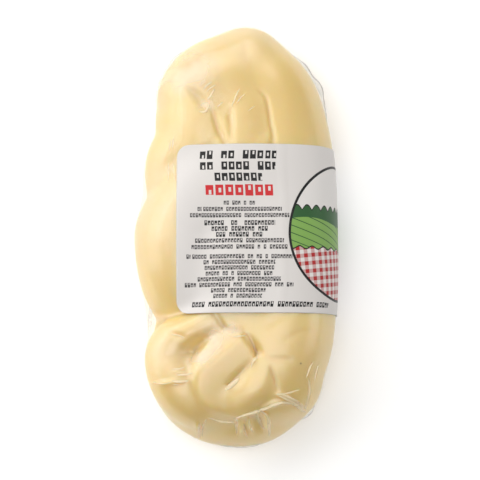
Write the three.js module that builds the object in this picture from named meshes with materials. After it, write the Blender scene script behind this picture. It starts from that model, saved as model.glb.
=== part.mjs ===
// A braided fresh cheese, vacuum-sealed in clear film, lying on its flat underside, with a paper
// label wrapped over its top and down its right side.
// Units are millimetres. X runs across the braid, Y along it and Z up. The origin is the centre of
// the footprint, on the surface that the cheese rests on.
import * as THREE from "three";

// Driving dimensions.
const PRESSED_TOP = 49.5; // the height that the film presses the strands down to
const SHOULDER_DROP = 7; // how far that pressed top falls from the middle to the long sides
const END_DROP = 9; // and from the middle to the two ends
const FOOT = 1.5; // the height at which their own weight flattens the strands' undersides
const HALF_WIDTH = 44;
const HALF_LENGTH = 92;
const LABEL_WIDTH = 109; // round the cheese
const LABEL_HEIGHT = 72.2; // along the cheese
const LABEL_LEFT = -25.2; // X of the label's left edge, on the top
const LABEL_MIDDLE = 0.2; // Y of the label's middle
const LABEL_CORNER = 5.5; // radius of its corners
const PAPER = 0.4; // thickness of the label
const LABEL_GAP = 0.75; // between the label and the film

// The plait. Each strand is a soft rope through a few points [x, y, z, radius]; flat squeezes its
// section in height, and blend is how widely it melts into the strands listed before it. A cut is
// a plane that shaves the strand: a point on it, the way it faces, and how soft its edge is.
const STRANDS = [
  {
    name: "core",
    flat: 1,
    blend: 3,
    path: [
      [3, 60, 22, 22.5], [3, 44, 22.5, 24.5], [1, 10, 21.5, 25], [0, -20, 21, 25],
      [-2, -54, 19, 23.5],
    ],
  },
  {
    name: "right_long",
    flat: 1,
    blend: 3,
    path: [
      [4.3, 72.5, 22, 18.6], [14.2, 60, 23.5, 20.8], [18.6, 45, 24, 21.8], [20, 28, 24.5, 23],
      [20.5, 5, 24.5, 23.4], [20.5, -25, 24.5, 23.4], [18.5, -46, 24, 23.6], [13, -61, 20.5, 23.4],
    ],
  },
  {
    name: "left_top",
    flat: 1,
    blend: 3,
    path: [
      [4.3, 72.5, 22, 18.6], [-10, 63, 23, 21.8], [-13, 52, 23.5, 21.8], [-13.5, 40, 23.5, 21],
      [-12, 28, 23, 20],
    ],
  },
  {
    name: "bottom_end",
    flat: 0.8,
    blend: 2,
    path: [
      [13.5, -63.5, 17, 22.7], [5, -69.2, 17, 22.8], [-5.5, -69, 17, 22.4], [-13, -64, 17, 22.6],
      [-17, -57, 17, 20.5], [-17, -45, 18, 19],
    ],
  },
  {
    name: "dent_lip",
    flat: 1,
    blend: 6,
    path: [[-20, 62, 29, 11.5], [-13, 64, 29.5, 14.5], [-4, 65, 29.5, 15.5]],
  },
  {
    name: "upper_lobe",
    flat: 1,
    blend: 3,
    path: [[-14, 44, 27, 14], [-24.5, 36, 27, 12.4], [-27, 27, 25, 12.6], [-24, 15, 22, 14]],
  },
  {
    name: "middle_lobe",
    flat: 1,
    blend: 3,
    path: [
      [10, 30, 28, 20], [-10, 20, 28, 19.5], [-21.5, 4, 25.5, 20.5], [-23, -6, 24.5, 20.8],
      [-21, -20, 22.5, 20], [-16, -32, 20, 18],
    ],
  },
  {
    name: "right_inner",
    flat: 1,
    blend: 3,
    path: [
      [1, -12, 25.5, 20], [4, -34, 26, 20], [12, -45, 26, 20], [17, -56, 24.5, 19.5],
      [18.5, -63, 22.5, 19],
    ],
  },
  {
    name: "arch",
    flat: 1,
    blend: 2.5,
    path: [
      [-3, -34, 37.5, 7.5], [-11, -38.8, 38.6, 6.8], [-19, -42.3, 37.2, 6.8], [-26, -47, 33, 9.4],
      [-28, -54, 31, 11], [-24.5, -63.5, 30.5, 12.5], [-18, -70, 27.5, 13.5], [-9, -72, 23, 14.5],
    ],
  },
  {
    name: "crossing",
    flat: 1,
    blend: 3,
    path: [
      [3.5, -46.5, 39, 10], [-1, -51, 39, 10], [-7, -56.5, 38.8, 9.8], [-11, -62.5, 37, 10],
      [-9, -67.5, 33.5, 11], [-2, -69.8, 31, 11.5],
    ],
    cuts: [
      { at: [4.1, -45.7, 48.3], normal: [-0.323, 0.307, 0.899], soft: 1 },
      { at: [-13.2, -49.8, 42], normal: [-0.69, 0.71, 0.15], soft: 1.2 },
      { at: [-7.7, -49.5, 46.2], normal: [-0.406, 0.462, 0.788], soft: 0.8 },
      { at: [-2, -42.9, 44], normal: [0.2, 0.95, 0.2], soft: 1 },
      { at: [7, -49, 43], normal: [0.8, 0.4, 0.5], soft: 1.5 },
      { at: [4.1, -45.7, 48.5], normal: [0.13, -0.29, 0.948], soft: 1.6 },
    ],
  },
  {
    name: "tail",
    flat: 1,
    blend: 2.3,
    path: [[12, -58.5, 41, 5], [10, -62.5, 39, 7], [7.2, -66.5, 36.5, 9], [2, -69.5, 33, 10.5]],
    cuts: [
      { at: [9, -62, 45.8], normal: [-0.1, 0.05, 1], soft: 1.5 },
    ],
  },
];

// Where the film stands off the cheese: over the notches between lobes and at its trimmed corners.
const FILM_TENTS = [
  { name: "top_left_corner", flat: 1, blend: 3, path: [[-18, 73, 21, 6.5], [-26.5, 78, 20, 1]] },
  { name: "top_right_edge", flat: 1, blend: 3, path: [[25, 75, 21, 3.5], [33.5, 61.5, 20, 3]] },
  { name: "upper_notch", flat: 1, blend: 3, path: [[-30, 26, 24, 8.6], [-31, 14, 24, 9]] },
  { name: "lower_notch", flat: 1, blend: 3, path: [[-30, -24, 24, 8.8], [-29, -42, 24, 8.8]] },
];
const FILM_BLEND = 1.8; // the film bridges each crease this many times as widely as the curd does
const FILM_GAP = 0.35; // film and trapped whey over the curd
const TOP_BLEND = 5; // how softly the strands' tops are pressed flat
const FOOT_BLEND = 4; // and their underside
const STRAND_STEPS = 28; // straight pieces in one strand

// The skeleton that the skin is measured from: a straight line with a fan of rays at each end.
const SPINE_HALF = 50;
const SPINE_HEIGHT = 21;
const RAY_START = 62; // outside the skin everywhere
const SIDE_RINGS = 35;
const END_RINGS = 13;
const COLUMNS = 46;

const LABEL_ROWS = 22;
const LABEL_COLUMNS = 26;
const SECTION_STEP = THREE.MathUtils.degToRad(1.5);

// A strand as a chain of short cones: its centre line and radius at even steps.
function chainOf({ path, flat, blend, cuts = [] }) {
  const centre = new THREE.CatmullRomCurve3(
    path.map(([x, y, z]) => new THREE.Vector3(x, y, z / flat)), false, "catmullrom",
  );
  const girth = new THREE.CatmullRomCurve3(
    path.map(([, , , r]) => new THREE.Vector3(r, 0, 0)), false, "catmullrom",
  );
  const steps = path.length > 2 ? STRAND_STEPS : 1;
  const links = Array.from({ length: steps + 1 }, (_, i) => ({
    at: centre.getPoint(i / steps),
    r: girth.getPoint(i / steps).x,
  }));
  const planes = cuts.map(({ at, normal, soft }) => {
    const facing = new THREE.Vector3(...normal).normalize();
    const point = new THREE.Vector3(...at);
    return { plane: new THREE.Plane().setFromNormalAndCoplanarPoint(facing, point), soft };
  });
  return { links, flat, blend, planes };
}

const chains = [...STRANDS, ...FILM_TENTS].map(chainOf);

// Distance from p to a chain's skin, negative inside.
const along = new THREE.Vector3();
const from = new THREE.Vector3();
function chainDistance(p, { links, flat }) {
  let nearest = Infinity;
  for (let i = 1; i < links.length; i++) {
    const a = links[i - 1];
    const b = links[i];
    along.subVectors(b.at, a.at);
    from.set(p.x, p.y, p.z / flat).sub(a.at);
    const t = THREE.MathUtils.clamp(from.dot(along) / along.lengthSq(), 0, 1);
    const d = from.addScaledVector(along, -t).length() - THREE.MathUtils.lerp(a.r, b.r, t);
    nearest = Math.min(nearest, d);
  }
  return nearest * Math.min(flat, 1);
}

// The smaller of two distances, rounded off where they are within blend of each other.
function smoothMin(a, b, blend) {
  const h = Math.max(blend - Math.abs(a - b), 0) / blend;
  return Math.min(a, b) - (h * h * h * blend) / 6;
}

const smoothMax = (a, b, blend) => -smoothMin(-a, -b, blend);

// The gentle dome that the film presses the strands' tops down to.
function pressedTop(x, y) {
  const across = Math.abs(x / HALF_WIDTH) ** 2.2;
  const lengthwise = (y / HALF_LENGTH) ** 4;
  return PRESSED_TOP - SHOULDER_DROP * across - END_DROP * lengthwise;
}

// Distance from p to a strand's skin after its cuts.
function strandDistance(p, chain) {
  let d = chainDistance(p, chain);
  for (const { plane, soft } of chain.planes) {
    d = smoothMax(d, plane.distanceToPoint(p), soft);
  }
  return d;
}

// Distance from p to the outside of the sealed film.
function filmDistance(p) {
  let d = Infinity;
  for (const chain of chains) {
    d = smoothMin(d, strandDistance(p, chain), chain.blend * FILM_BLEND);
  }
  d = smoothMax(d - FILM_GAP, p.z - pressedTop(p.x, p.y), TOP_BLEND);
  return smoothMax(d, FOOT - p.z, FOOT_BLEND);
}

// Walks in along a ray from outside until it meets the film.
function filmPoint(origin, direction) {
  const p = origin.clone().addScaledVector(direction, RAY_START);
  for (let i = 0; i < 80; i++) {
    const d = filmDistance(p);
    if (d < 0.005) break;
    p.addScaledVector(direction, -0.85 * d);
  }
  return p;
}

function outward(p) {
  const reach = 0.4;
  const slope = ["x", "y", "z"].map((axis) => {
    const ahead = p.clone();
    const behind = p.clone();
    ahead[axis] += reach;
    behind[axis] -= reach;
    return filmDistance(ahead) - filmDistance(behind);
  });
  return new THREE.Vector3(...slope).normalize();
}

// A point of the skin: lean is the fan angle out of the cross-section, angle goes round it.
function skinPoint(y, lean, angle) {
  const origin = new THREE.Vector3(0, y, SPINE_HEIGHT);
  const direction = new THREE.Vector3(
    Math.cos(lean) * Math.cos(angle),
    Math.sin(lean),
    Math.cos(lean) * Math.sin(angle),
  );
  return filmPoint(origin, direction);
}

// Rings of the skin from the bottom end to the top end, without the two poles.
function skinRings() {
  const quarter = Math.PI / 2;
  const stations = [];
  for (let i = 1; i < END_RINGS; i++) {
    stations.push({ y: -SPINE_HALF, lean: -quarter + (quarter * i) / END_RINGS });
  }
  for (let i = 0; i < SIDE_RINGS; i++) {
    stations.push({ y: -SPINE_HALF + (2 * SPINE_HALF * i) / (SIDE_RINGS - 1), lean: 0 });
  }
  for (let i = 1; i < END_RINGS; i++) {
    stations.push({ y: SPINE_HALF, lean: (quarter * i) / END_RINGS });
  }
  return stations.map(({ y, lean }) =>
    Array.from({ length: COLUMNS }, (_, j) => skinPoint(y, lean, (2 * Math.PI * j) / COLUMNS)),
  );
}

function geometryOf(points, triangles) {
  const geometry = new THREE.BufferGeometry().setFromPoints(points);
  geometry.setIndex(triangles);
  geometry.computeVertexNormals();
  return geometry;
}

// The whole pack as one closed skin.
function sealedBraidGeometry() {
  const rings = skinRings();
  const quarter = Math.PI / 2;
  const points = rings.flat();
  const bottomPole = points.push(skinPoint(-SPINE_HALF, -quarter, 0)) - 1;
  const topPole = points.push(skinPoint(SPINE_HALF, quarter, 0)) - 1;
  const triangles = [];
  for (let j = 0; j < COLUMNS; j++) {
    const k = (j + 1) % COLUMNS;
    const last = (rings.length - 1) * COLUMNS;
    triangles.push(bottomPole, j, k, topPole, last + k, last + j);
    for (let i = 0; i + 1 < rings.length; i++) {
      const a = i * COLUMNS;
      const b = a + COLUMNS;
      triangles.push(a + j, b + j, b + k, a + j, b + k, a + k);
    }
  }
  return geometryOf(points, triangles);
}

// The film's section at y, walked from the label's left edge over the top and down the right side.
function labelSection(y) {
  const section = [];
  let length = 0;
  let before = skinPoint(y, 0, Math.PI);
  for (let angle = Math.PI; length < LABEL_WIDTH; angle -= SECTION_STEP) {
    const point = skinPoint(y, 0, angle);
    if (point.x > LABEL_LEFT) {
      if (!section.length) {
        const share = (LABEL_LEFT - before.x) / (point.x - before.x);
        section.push({ point: before.clone().lerp(point, share), length: 0 });
      }
      length += point.distanceTo(section.at(-1).point);
      section.push({ point, length });
    }
    before = point;
  }
  return section;
}

function pointAlong(section, length) {
  const i = Math.max(1, section.findIndex((s) => s.length >= length));
  const a = section[i - 1];
  const b = section[i];
  const share = (length - a.length) / (b.length - a.length);
  return a.point.clone().lerp(b.point, share);
}

// How far a row of the label starts in from its side edge, because of the rounded corners.
function cornerInset(fromEnd) {
  const into = Math.max(LABEL_CORNER - fromEnd, 0);
  return LABEL_CORNER - Math.sqrt(LABEL_CORNER ** 2 - into ** 2);
}

// The label: a grid of paper laid on the film, closed round its border.
function labelGeometry() {
  const inner = [];
  const outer = [];
  for (let i = 0; i <= LABEL_ROWS; i++) {
    const share = (1 - Math.cos((Math.PI * i) / LABEL_ROWS)) / 2; // rows crowd towards the ends
    const fromEnd = LABEL_HEIGHT * Math.min(share, 1 - share);
    const section = labelSection(LABEL_MIDDLE + LABEL_HEIGHT * (share - 0.5));
    const inset = cornerInset(fromEnd);
    for (let j = 0; j <= LABEL_COLUMNS; j++) {
      const length = inset + ((LABEL_WIDTH - 2 * inset) * j) / LABEL_COLUMNS;
      const point = pointAlong(section, length);
      const normal = outward(point);
      inner.push(point.clone().addScaledVector(normal, LABEL_GAP));
      outer.push(point.clone().addScaledVector(normal, LABEL_GAP + PAPER));
    }
  }
  const wide = LABEL_COLUMNS + 1;
  const under = inner.length; // inner points follow the outer ones
  const triangles = [];
  for (let i = 0; i < LABEL_ROWS; i++) {
    for (let j = 0; j < LABEL_COLUMNS; j++) {
      const [a, b, c, d] = [0, 1, wide + 1, wide].map((step) => i * wide + j + step);
      triangles.push(a, b, c, a, c, d);
      triangles.push(under + a, under + c, under + b, under + a, under + d, under + c);
    }
  }
  const border = [
    ...Array.from({ length: LABEL_COLUMNS }, (_, j) => j),
    ...Array.from({ length: LABEL_ROWS }, (_, i) => i * wide + LABEL_COLUMNS),
    ...Array.from({ length: LABEL_COLUMNS }, (_, j) => LABEL_ROWS * wide + LABEL_COLUMNS - j),
    ...Array.from({ length: LABEL_ROWS }, (_, i) => (LABEL_ROWS - i) * wide),
  ];
  border.forEach((a, n) => {
    const b = border[(n + 1) % border.length];
    triangles.push(a, under + b, b, a, under + a, under + b);
  });
  return geometryOf([...outer, ...inner], triangles);
}

function part(name, geometry, look) {
  const mesh = new THREE.Mesh(geometry, new THREE.MeshStandardMaterial(look));
  mesh.name = name;
  return mesh;
}

const cheese = new THREE.Group();
cheese.name = "sealed_braided_cheese";
cheese.add(
  part("sealed_braid", sealedBraidGeometry(), { color: 0xf3dda6, roughness: 0.3, metalness: 0 }),
  part("label", labelGeometry(), { color: 0xe9e4de, roughness: 0.55, metalness: 0 }),
);

// Centre the footprint on the origin and stand it on Z = 0.
const box = new THREE.Box3().setFromObject(cheese);
const middle = box.getCenter(new THREE.Vector3());
cheese.position.set(-middle.x, -middle.y, -box.min.z);

export default cheese;
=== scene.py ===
# %% [markdown]
# # A braided fresh cheese, sealed in clear film
#
# The real thing starts as a warm rope of stretched curd. The maker folds it and plaits it on
# itself, cools it in brine, and seals the loaf in thin clear film under vacuum. A paper label goes
# over the top and down one side. So the model has three skins, one over the other: the soft curd,
# the glossy film that bridges its creases, and the paper. Each skin is made from the same few
# strands, the way the real ones are all shaped by the same plait.
#
# The first cell loads the fixed frame that the pieces ride on, and keeps its box.

# %% Load the frame
import math

import bpy
import numpy as np
from mathutils import Matrix, Vector


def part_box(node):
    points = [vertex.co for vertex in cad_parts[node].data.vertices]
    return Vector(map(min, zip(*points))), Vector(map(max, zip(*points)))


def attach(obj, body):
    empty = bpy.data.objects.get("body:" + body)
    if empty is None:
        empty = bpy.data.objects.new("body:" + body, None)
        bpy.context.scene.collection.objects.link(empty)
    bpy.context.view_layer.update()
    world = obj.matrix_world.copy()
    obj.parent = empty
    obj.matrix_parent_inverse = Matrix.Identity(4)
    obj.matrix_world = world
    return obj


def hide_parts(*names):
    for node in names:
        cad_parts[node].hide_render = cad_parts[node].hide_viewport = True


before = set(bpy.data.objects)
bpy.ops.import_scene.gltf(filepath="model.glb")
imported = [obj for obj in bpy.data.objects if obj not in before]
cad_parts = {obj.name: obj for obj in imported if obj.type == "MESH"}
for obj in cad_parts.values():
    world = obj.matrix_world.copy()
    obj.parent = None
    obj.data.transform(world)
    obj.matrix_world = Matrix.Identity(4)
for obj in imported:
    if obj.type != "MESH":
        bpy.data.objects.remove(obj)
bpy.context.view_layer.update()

MM = 0.001


def new_object(name, data):
    thing = bpy.data.objects.new(name, data)
    bpy.context.collection.objects.link(thing)
    return thing


# %% [markdown]
# ## Camera
#
# The loaf is seen from almost straight above, from its lower end. A long lens at arm's length keeps
# its sides nearly parallel, the way goods on a table are mostly shown. The lens is worked out from
# how much of the table the view takes in.

# %% Camera
VIEW_HEIGHT = 0.2076  # metres, in the plane that the camera aims at
VIEW_DISTANCE = 0.9
VIEW_ELEVATION = math.radians(84)
SENSOR = 36  # millimetres
AIM = Vector((0.0012, -0.0031, 0.03))

lens = bpy.data.cameras.new("camera")
lens.sensor_width = SENSOR
lens.lens = SENSOR * VIEW_DISTANCE / VIEW_HEIGHT
camera = new_object("camera", lens)
bpy.context.scene.camera = camera
outward = Vector((0, -math.cos(VIEW_ELEVATION), math.sin(VIEW_ELEVATION)))
camera.location = AIM + VIEW_DISTANCE * outward
camera.rotation_euler = outward.to_track_quat("Z", "Y").to_euler()
print("lens", round(lens.lens, 1), "mm")

# %% [markdown]
# ## Writing nodes as arithmetic
#
# Both kinds of tree in this file, for shapes and for finishes, are long sums. Wired by hand they
# are hard to read. Here a small class wraps a socket and overloads Python's operators, so that
# `1 - mask * 0.5` adds its own Math nodes. Every other node comes from one method, `add`, which
# takes the node's type, its settings and what its sockets are fed with.

# %% Nodes as arithmetic
def operator(operation, reflected=False):
    """A method that adds one Math node. Reflected, it is for a number on the left of the sign."""

    def method(self, other):
        values = (other, self) if reflected else (self, other)
        return self.nodes.math(operation, *values)

    return method


class Value:
    """A socket that takes part in arithmetic."""

    def __init__(self, nodes, socket):
        self.nodes = nodes
        self.socket = socket

    def out(self, name):
        """Another output of the same node."""
        return Value(self.nodes, self.socket.node.outputs[name])

    def __abs__(self):
        return self.nodes.math("ABSOLUTE", self)

    __add__ = operator("ADD")
    __radd__ = operator("ADD", reflected=True)
    __sub__ = operator("SUBTRACT")
    __rsub__ = operator("SUBTRACT", reflected=True)
    __mul__ = operator("MULTIPLY")
    __rmul__ = operator("MULTIPLY", reflected=True)
    __truediv__ = operator("DIVIDE")
    __rtruediv__ = operator("DIVIDE", reflected=True)
    __pow__ = operator("POWER")
    __lt__ = operator("LESS_THAN")
    __gt__ = operator("GREATER_THAN")


class Nodes:
    """A node tree that is being built."""

    def __init__(self, tree):
        self.tree = tree

    def add(self, kind, settings=None, inputs=None, output=0):
        """Makes one node: its settings first, then values or links for its sockets."""
        node = self.tree.nodes.new(kind)
        for name, value in (settings or {}).items():
            setattr(node, name, value)
        for key, value in (inputs or {}).items():
            self.feed(node.inputs[key], value)
        return Value(self, node.outputs[output]) if node.outputs else node

    def feed(self, socket, value):
        if isinstance(value, Value):
            self.tree.links.new(value.socket, socket)
        else:
            socket.default_value = value

    def math(self, operation, *values):
        return self.add("ShaderNodeMath", {"operation": operation}, dict(enumerate(values)))

    def vector(self, operation, *values, output=0):
        settings = {"operation": operation}
        return self.add("ShaderNodeVectorMath", settings, dict(enumerate(values)), output)

    def smooth_step(self, value, start, end, low, high):
        """Eases from low to high while the value goes from start to end."""
        return self.add("ShaderNodeMapRange", {"interpolation_type": "SMOOTHSTEP"}, {
            "Value": value, "From Min": start, "From Max": end, "To Min": low, "To Max": high,
        })

    def times(self, vector, amount):
        inputs = {0: vector, "Scale": amount}
        return self.add("ShaderNodeVectorMath", {"operation": "SCALE"}, inputs)

    def parts(self, vector):
        """A vector's X, Y and Z."""
        x = self.add("ShaderNodeSeparateXYZ", {}, {0: vector})
        return x, x.out("Y"), x.out("Z")

    def noise(self, place, scale, detail=2.0, output=0):
        inputs = {"Vector": place, "Scale": scale, "Detail": detail}
        return self.add("ShaderNodeTexNoise", {}, inputs, output)

    def stored(self, name, kind="FLOAT"):
        """In a shape tree, an attribute of the points."""
        return self.add("GeometryNodeInputNamedAttribute", {"data_type": kind}, {"Name": name})

    def place(self):
        """In a finish, Object coordinates."""
        return self.add("ShaderNodeTexCoord").out("Object")

    def bump(self, height, strength, distance):
        inputs = {"Strength": strength, "Distance": distance, "Height": height}
        return self.add("ShaderNodeBump", {}, inputs)


# %% [markdown]
# ## The plait
#
# Each strand is a soft rope: a smooth line through a few points, with a girth at each. A plait can
# be made from swept tubes, from metaballs, or by sculpting. Swept tubes meet in hard lines and leave
# hidden walls inside, and metaballs give no say in how widely two strands melt together. So the
# strands stay as bare guide lines here, and a skin is drawn in over them further down.
#
# A strand is a list of (x, y, z, girth). A blend is how widely a strand melts into the ones before
# it, and a flattened strand's section is squeezed in height by that factor. All of these lengths
# are in millimetres.

# %% Strands
STRANDS = {
    "core": [
        (3, 60, 22, 22.5), (3, 44, 22.5, 24.5), (1, 10, 21.5, 25), (0, -20, 21, 25),
        (-2, -54, 19, 23.5),
    ],
    "right_long": [
        (4.3, 72.5, 22, 18.6), (14.2, 60, 23.5, 20.8), (18.6, 45, 24, 21.8), (20, 28, 24.5, 23),
        (20.5, 5, 24.5, 23.4), (20.5, -25, 24.5, 23.4), (18.5, -46, 24, 23.6),
        (13, -61, 20.5, 23.4),
    ],
    "left_top": [
        (4.3, 72.5, 22, 18.6), (-10, 63, 23, 21.8), (-13, 52, 23.5, 21.8), (-13.5, 40, 23.5, 21),
        (-12, 28, 23, 20),
    ],
    "bottom_end": [
        (13.5, -63.5, 17, 22.7), (5, -69.2, 17, 22.8), (-5.5, -69, 17, 22.4), (-13, -64, 17, 22.6),
        (-17, -57, 17, 20.5), (-17, -45, 18, 19),
    ],
    "dent_lip": [(-20, 62, 29, 11.5), (-13, 64, 29.5, 14.5), (-4, 65, 29.5, 15.5)],
    "upper_lobe": [
        (-14, 44, 27, 14), (-24.5, 36, 27, 12.4), (-27, 27, 25, 12.6), (-24, 15, 22, 14),
    ],
    "middle_lobe": [
        (10, 30, 28, 20), (-10, 20, 28, 19.5), (-21.5, 4, 25.5, 20.5), (-23, -6, 24.5, 20.8),
        (-21, -20, 22.5, 20), (-16, -32, 20, 18),
    ],
    "right_inner": [
        (1, -12, 25.5, 20), (4, -34, 26, 20), (12, -45, 26, 20), (17, -56, 24.5, 19.5),
        (18.5, -63, 22.5, 19),
    ],
    "arch": [
        (-3, -34, 37.5, 7.5), (-11, -38.8, 38.6, 6.8), (-19, -42.3, 37.2, 6.8), (-26, -47, 33, 9.4),
        (-28, -54, 31, 11), (-24.5, -63.5, 30.5, 12.5), (-18, -70, 27.5, 13.5), (-9, -72, 23, 14.5),
    ],
    "crossing": [
        (3.5, -46.5, 39, 10), (-1, -51, 39, 10), (-7, -56.5, 38.8, 9.8), (-11, -62.5, 37, 10),
        (-9, -67.5, 33.5, 11), (-2, -69.8, 31, 11.5),
    ],
    "tail": [(12, -58.5, 41, 5), (10, -62.5, 39, 7), (7.2, -66.5, 36.5, 9), (2, -69.5, 33, 10.5)],
}
USUAL_BLEND = 3
BLENDS = {"bottom_end": 2, "dent_lip": 6, "arch": 2.5, "tail": 2.3}
FLATTENED = {"bottom_end": 0.8}

# The crossing strand's end was cut off square and its upper side is pressed to a ridge. Each cut is
# a plane that shaves one strand: a point on it, the way it faces, and how soft its edge is.
CUTS = {
    "crossing": [
        ((4.1, -45.7, 48.3), (-0.323, 0.307, 0.899), 1),
        ((-13.2, -49.8, 42), (-0.69, 0.71, 0.15), 1.2),
        ((-7.7, -49.5, 46.2), (-0.406, 0.462, 0.788), 0.8),
        ((-2, -42.9, 44), (0.2, 0.95, 0.2), 1),
        ((7, -49, 43), (0.8, 0.4, 0.5), 1.5),
        ((4.1, -45.7, 48.5), (0.13, -0.29, 0.948), 1.6),
    ],
    "tail": [((9, -62, 45.8), (-0.1, 0.05, 1), 1.5)],
}


def add_line(curve, path):
    spline = curve.splines.new("POLY")
    spline.points.add(len(path) - 1)
    for point, (x, y, z, girth) in zip(spline.points, path):
        point.co = (x * MM, y * MM, z * MM, 1)
        point.radius = girth * MM


def guide(name, path):
    """A bare curve through (x, y, z, girth) points. It only guides the trees and isn't shown."""
    curve = bpy.data.curves.new(name, "CURVE")
    curve.dimensions = "3D"
    add_line(curve, path)
    return bpy.data.objects.new(name, curve)


strand_list = [
    (guide(name, path), FLATTENED.get(name, 1), BLENDS.get(name, USUAL_BLEND), CUTS.get(name, ()))
    for name, path in STRANDS.items()
]
print(len(strand_list), "strands")

# %% [markdown]
# ## Shape trees
#
# A shape tree is a recipe for a shape: it takes some geometry and a few named inputs, and gives
# new geometry. Every tree here is begun, ended and run in the same way. What it gives is kept as a
# plain mesh and the modifier comes off, so that nothing is worked out again each time the piece
# moves, and so that the mesh can be used outside Blender.

# %% Begin, end and run a shape tree
def shape_tree(name, inputs):
    """An empty Geometry Nodes tree with named inputs: {name: (socket type, default)}."""
    tree = bpy.data.node_groups.new(name, "GeometryNodeTree")
    tree.interface.new_socket("Geometry", in_out="INPUT", socket_type="NodeSocketGeometry")
    for label, (kind, default) in inputs.items():
        socket = tree.interface.new_socket(label, in_out="INPUT", socket_type=kind)
        if default is not None:
            socket.default_value = default
    tree.interface.new_socket("Geometry", in_out="OUTPUT", socket_type="NodeSocketGeometry")
    return Nodes(tree)


def close_tree(nodes, geometry, material):
    """Ends a shape tree: plain smooth geometry with its finish on it."""
    real = nodes.add("GeometryNodeRealizeInstances", {}, {0: geometry})
    smooth = nodes.add("GeometryNodeSetShadeSmooth", {}, {0: real})
    finished = nodes.add("GeometryNodeSetMaterial", {}, {"Geometry": smooth, "Material": material})
    nodes.add("NodeGroupOutput", {}, {0: finished})
    return nodes.tree


def run_tree(thing, tree, values):
    """Puts the tree on an object, sets its inputs by identifier, and keeps the result as a mesh."""
    modifier = thing.modifiers.new(tree.name, "NODES")
    modifier.node_group = tree
    for item in tree.interface.items_tree:
        if item.in_out == "INPUT" and item.name in values:
            modifier[item.identifier] = values[item.name]
    graph = bpy.context.evaluated_depsgraph_get()
    made = bpy.data.meshes.new_from_object(thing.evaluated_get(graph), depsgraph=graph)
    thing.modifiers.clear()
    thing.data = made
    return thing


# %% [markdown]
# ## Drawing a skin in over the strands
#
# A skin starts as a loose bag well outside the loaf. Every point of it sits on a ray from a short
# spine inside the loaf, and walks in along its ray. At each step it measures how far the strands
# still are: the distance to a strand's line, less the strand's girth there. A strand that swells
# along its length reaches out furthest from a little beyond the nearest point of its line, so the
# line is looked up twice, the second time from a place pushed along by the swelling. Distances to
# all the strands are joined by a smooth minimum, which is what melts them together, and a smooth
# maximum presses the top down and the underside flat. A Repeat Zone takes the steps.
#
# The same tree draws every skin. The curd has the blends as they are. Film can't follow a tight
# crease, so it gets wider blends and a little clearance, and paper gets wider ones still.
#
# Small marks go in the same way. A mark is a line in plan whose height is read as its depth and
# whose girth is read as its width, and it is pressed into the upper side only.

# %% How far a strand is
STRAND_STEP = 0.3 * MM


def close_line(nodes, thing, step):
    """A guide with close points, smoothly bent between its own few points."""
    info = nodes.add("GeometryNodeObjectInfo", {}, {"Object": thing}, "Geometry")
    smooth = nodes.add("GeometryNodeCurveSplineType", {"spline_type": "CATMULL_ROM"}, {0: info})
    return nodes.add("GeometryNodeResampleCurve", {"mode": "LENGTH"}, {"Curve": smooth, "Length": step})


def to_points(nodes, line):
    return nodes.add("GeometryNodeCurveToPoints", {"mode": "EVALUATED"}, {0: line})


def scaled(nodes, geometry, scale):
    return nodes.add("GeometryNodeTransform", {}, {"Geometry": geometry, "Scale": scale})


def nearest(nodes, points, position):
    return nodes.add("GeometryNodeSampleNearest", {}, {"Geometry": points, "Sample Position": position})


def sample(nodes, points, kind, what, index):
    return nodes.add("GeometryNodeSampleIndex", {"data_type": kind}, {0: points, 1: what, "Index": index})


def with_swell(nodes, line):
    """Stores how fast the girth grows, as a vector along the line."""

    def neighbour(kind, value, offset):
        index = nodes.add("GeometryNodeOffsetPointInCurve", {}, {"Offset": offset}, "Point Index")
        return nodes.add("GeometryNodeFieldAtIndex", {"data_type": kind}, {0: value, 1: index})

    place = nodes.add("GeometryNodeInputPosition")
    girth = nodes.add("GeometryNodeInputRadius")
    along = nodes.vector(
        "SUBTRACT", neighbour("FLOAT_VECTOR", place, 1), neighbour("FLOAT_VECTOR", place, -1),
    )
    growth = neighbour("FLOAT", girth, 1) - neighbour("FLOAT", girth, -1)
    share = growth / nodes.vector("DOT_PRODUCT", along, along, output="Value")
    return nodes.add("GeometryNodeStoreNamedAttribute", {"data_type": "FLOAT_VECTOR"}, {
        "Geometry": line, "Name": "swell", "Value": nodes.times(along, share),
    })


def strand_distance(nodes, thing, flat, position):
    """How far a place is outside one strand."""
    stretch = (1, 1, 1 / flat)
    line = with_swell(nodes, scaled(nodes, close_line(nodes, thing, STRAND_STEP), stretch))
    points = to_points(nodes, line)
    place = nodes.vector("MULTIPLY", position, stretch)
    own_place = nodes.add("GeometryNodeInputPosition")

    first = nearest(nodes, points, place)
    centre = sample(nodes, points, "FLOAT_VECTOR", own_place, first)
    swell = sample(nodes, points, "FLOAT_VECTOR", nodes.stored("swell", "FLOAT_VECTOR"), first)
    reach = nodes.vector("DISTANCE", place, centre, output="Value")
    push = nodes.times(swell, reach)

    second = nearest(nodes, points, nodes.vector("ADD", place, push))
    centre = sample(nodes, points, "FLOAT_VECTOR", own_place, second)
    girth = sample(nodes, points, "FLOAT", nodes.add("GeometryNodeInputRadius"), second)
    return (nodes.vector("DISTANCE", place, centre, output="Value") - girth) * flat


# %% Cuts and marks
MARK_STEP = 0.1 * MM
MARKS_FROM = 22 * MM  # marks fade in from this height
MARKS_FULL = 34 * MM  # to this one


def cut_distance(nodes, point, normal, position):
    """How far a place is on the outer side of a cutting plane."""
    offset = nodes.vector("SUBTRACT", position, [v * MM for v in point])
    return nodes.vector("DOT_PRODUCT", offset, Vector(normal).normalized(), output="Value")


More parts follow.
